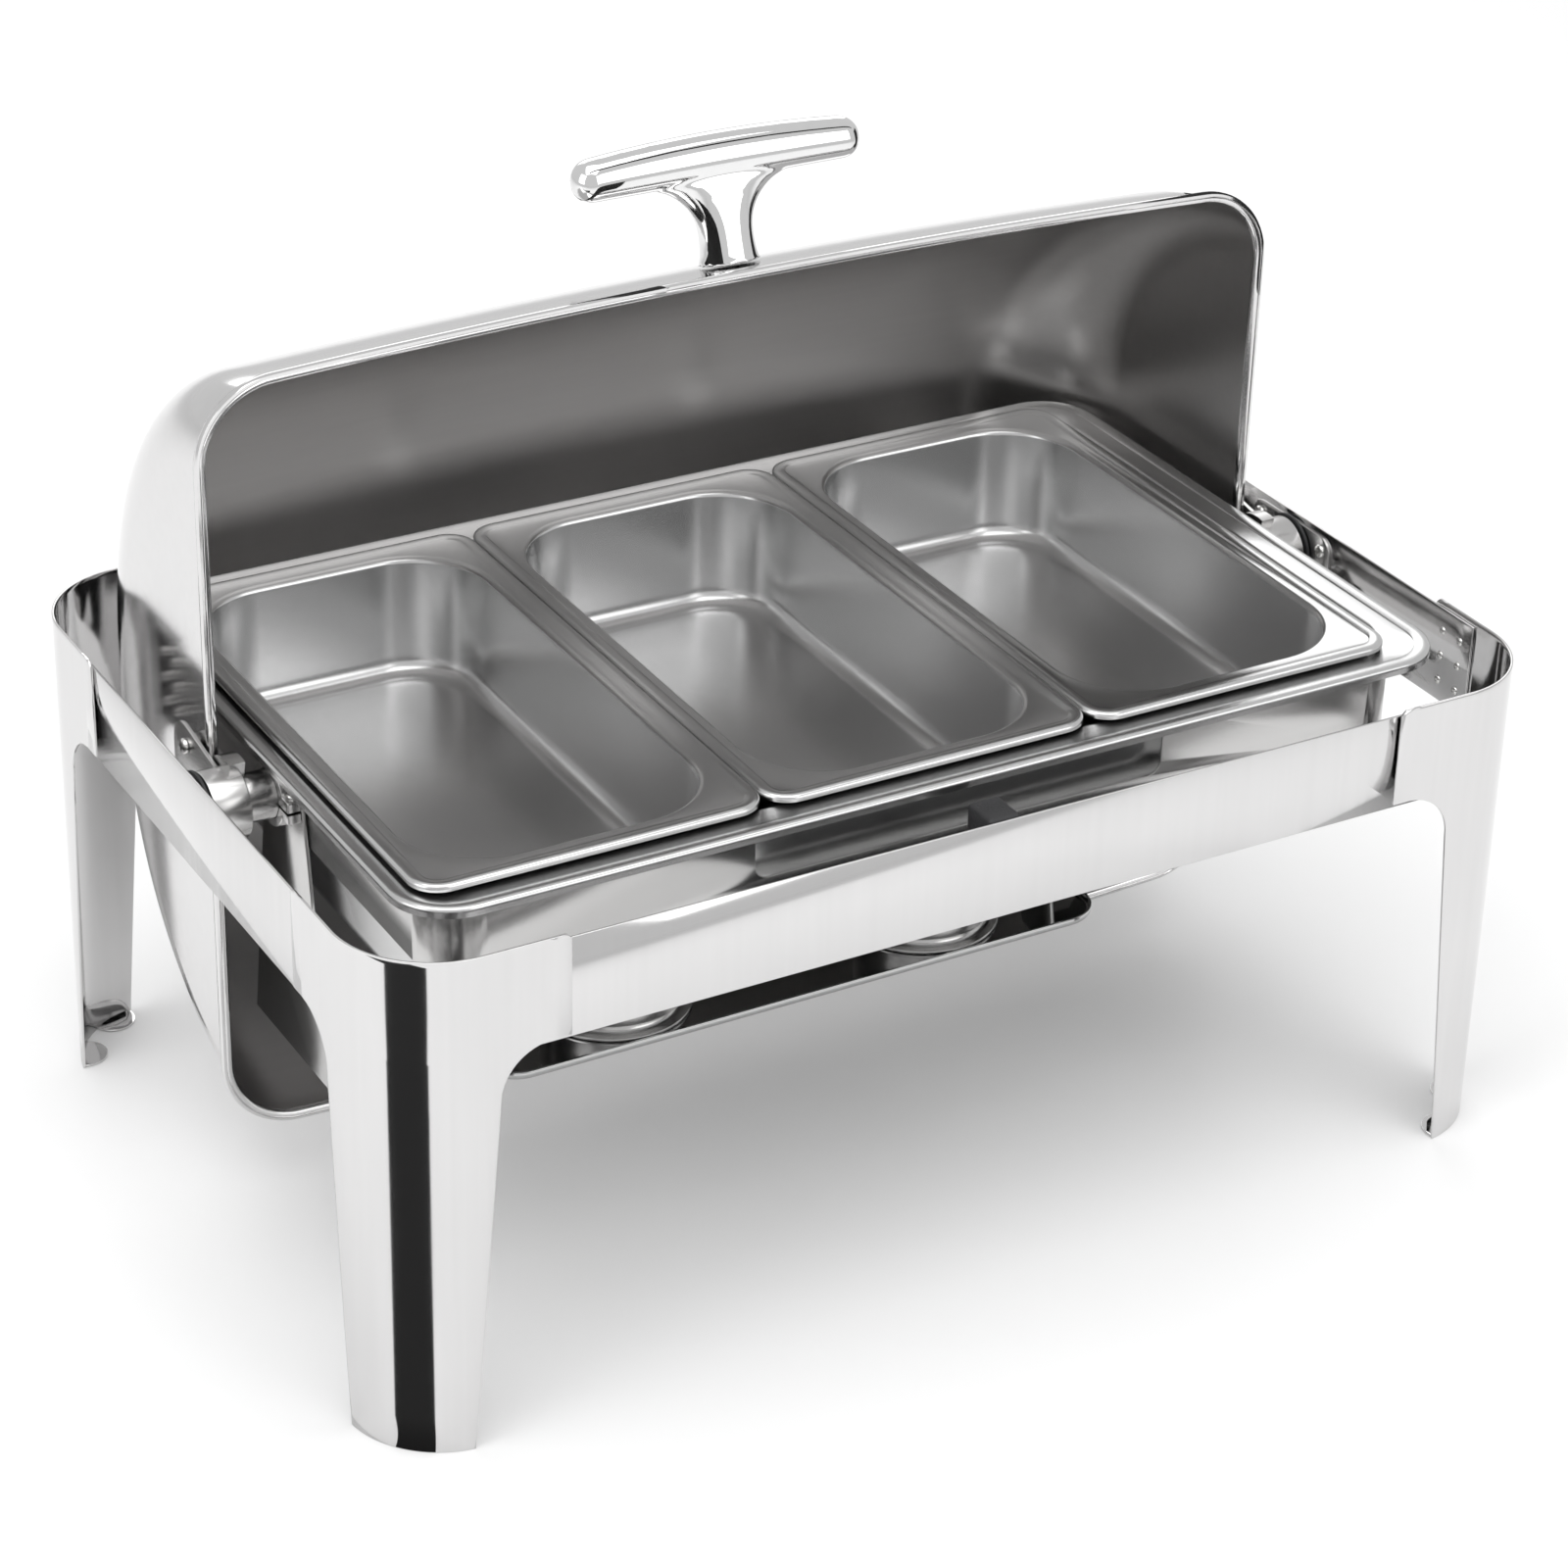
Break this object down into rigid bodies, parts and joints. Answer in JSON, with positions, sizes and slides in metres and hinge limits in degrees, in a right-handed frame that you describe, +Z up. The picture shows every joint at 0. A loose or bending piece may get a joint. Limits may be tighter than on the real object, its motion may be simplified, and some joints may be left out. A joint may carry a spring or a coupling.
{
  "type": "roll top chafer",
  "caption": "Rectangular food warmer on four sheet-steel legs, with a half-barrel lid that rolls back about hubs at its ends, food pans in a water pan, and fuel cups on a shelf below.",
  "frame": {"origin": "on the table, under the middle of the stand", "axes": "+X along the length to the right, +Y to the back where the open lid is, +Z up"},
  "size_m": [0.636, 0.427, 0.5001],
  "materials": {
    "polished_sheet": "mirror-polished stainless sheet",
    "lid_sheet": "mirror-polished stainless outside, softer satin inside",
    "satin_sheet": "satin stainless sheet",
    "pan_sheet": "satin stainless with polished rims",
    "fastener_steel": "bright plated",
    "handle_chrome": "polished casting",
    "black_rubber": "matt black"
  },
  "bodies": {
    "stand": {"leg_front_left": "polished_sheet", "leg_front_right": "polished_sheet", "leg_back_left": "polished_sheet", "leg_back_right": "polished_sheet", "rail_front": "polished_sheet", "rail_back": "polished_sheet", "rail_left": "polished_sheet", "rail_right": "polished_sheet", "pan_support_band": "satin_sheet", "fuel_shelf": "satin_sheet", "bumper_bracket": "satin_sheet", "hinge_plate_left": "satin_sheet", "axle_left": "satin_sheet", "axle_bracket_left": "satin_sheet", "hanger_plate_left": "satin_sheet", "shelf_arm_left": "satin_sheet", "fuel_cup_left": "satin_sheet", "hinge_plate_right": "satin_sheet", "axle_right": "satin_sheet", "axle_bracket_right": "satin_sheet", "hanger_plate_right": "satin_sheet", "shelf_arm_right": "satin_sheet", "fuel_cup_right": "satin_sheet", "hinge_screw_left_front_low": "fastener_steel", "hinge_screw_left_front_high": "fastener_steel", "hinge_screw_left_back_low": "fastener_steel", "hinge_screw_left_back_high": "fastener_steel", "bracket_screw_left": "fastener_steel", "stop_pin_left": "fastener_steel", "damper_pin_left": "fastener_steel", "hinge_screw_right_front_low": "fastener_steel", "hinge_screw_right_front_high": "fastener_steel", "hinge_screw_right_back_low": "fastener_steel", "hinge_screw_right_back_high": "fastener_steel", "bracket_screw_right": "fastener_steel", "stop_pin_right": "fastener_steel", "damper_pin_right": "fastener_steel", "friction_washer_left": "black_rubber", "friction_washer_right": "black_rubber", "lid_bumper": "black_rubber"},
    "lid": {"lid_shell": "lid_sheet", "lid_handle": "handle_chrome", "hinge_knuckle_left": "polished_sheet", "knuckle_screw_left_low": "fastener_steel", "knuckle_screw_left_high": "fastener_steel", "hinge_knuckle_right": "polished_sheet", "knuckle_screw_right_low": "fastener_steel", "knuckle_screw_right_high": "fastener_steel"},
    "water_pan": {"water_pan": "pan_sheet"},
    "food_pan_left": {"food_pan_left": "pan_sheet"},
    "food_pan_centre": {"food_pan_centre": "pan_sheet"},
    "food_pan_right": {"food_pan_right": "pan_sheet"},
    "damper_left": {"damper_left": "satin_sheet"},
    "damper_right": {"damper_right": "satin_sheet"}
  },
  "joints": [
    {"name": "lid_roll", "type": "hinge", "parent": "stand", "child": "lid", "pos_m": [0, 0, 0.24], "axis": [1, 0, 0], "range_deg": [0, 90]},
    {"name": "water_pan_lift", "type": "slide", "parent": "stand", "child": "water_pan", "axis": [0, 0, 1], "range_m": [0, 0.015]},
    {"name": "food_pan_left_lift", "type": "slide", "parent": "water_pan", "child": "food_pan_left", "axis": [0, 0, 1], "range_m": [0, 0.025]},
    {"name": "food_pan_centre_lift", "type": "slide", "parent": "water_pan", "child": "food_pan_centre", "axis": [0, 0, 1], "range_m": [0, 0.025]},
    {"name": "food_pan_right_lift", "type": "slide", "parent": "water_pan", "child": "food_pan_right", "axis": [0, 0, 1], "range_m": [0, 0.025]},
    {"name": "damper_left_swivel", "type": "hinge", "parent": "stand", "child": "damper_left", "pos_m": [-0.092, 0.0385, 0.1168], "axis": [0, 0, 1], "range_deg": [0, 75]},
    {"name": "damper_right_swivel", "type": "hinge", "parent": "stand", "child": "damper_right", "pos_m": [0.092, 0.0385, 0.1168], "axis": [0, 0, 1], "range_deg": [0, 75]}
  ]
}
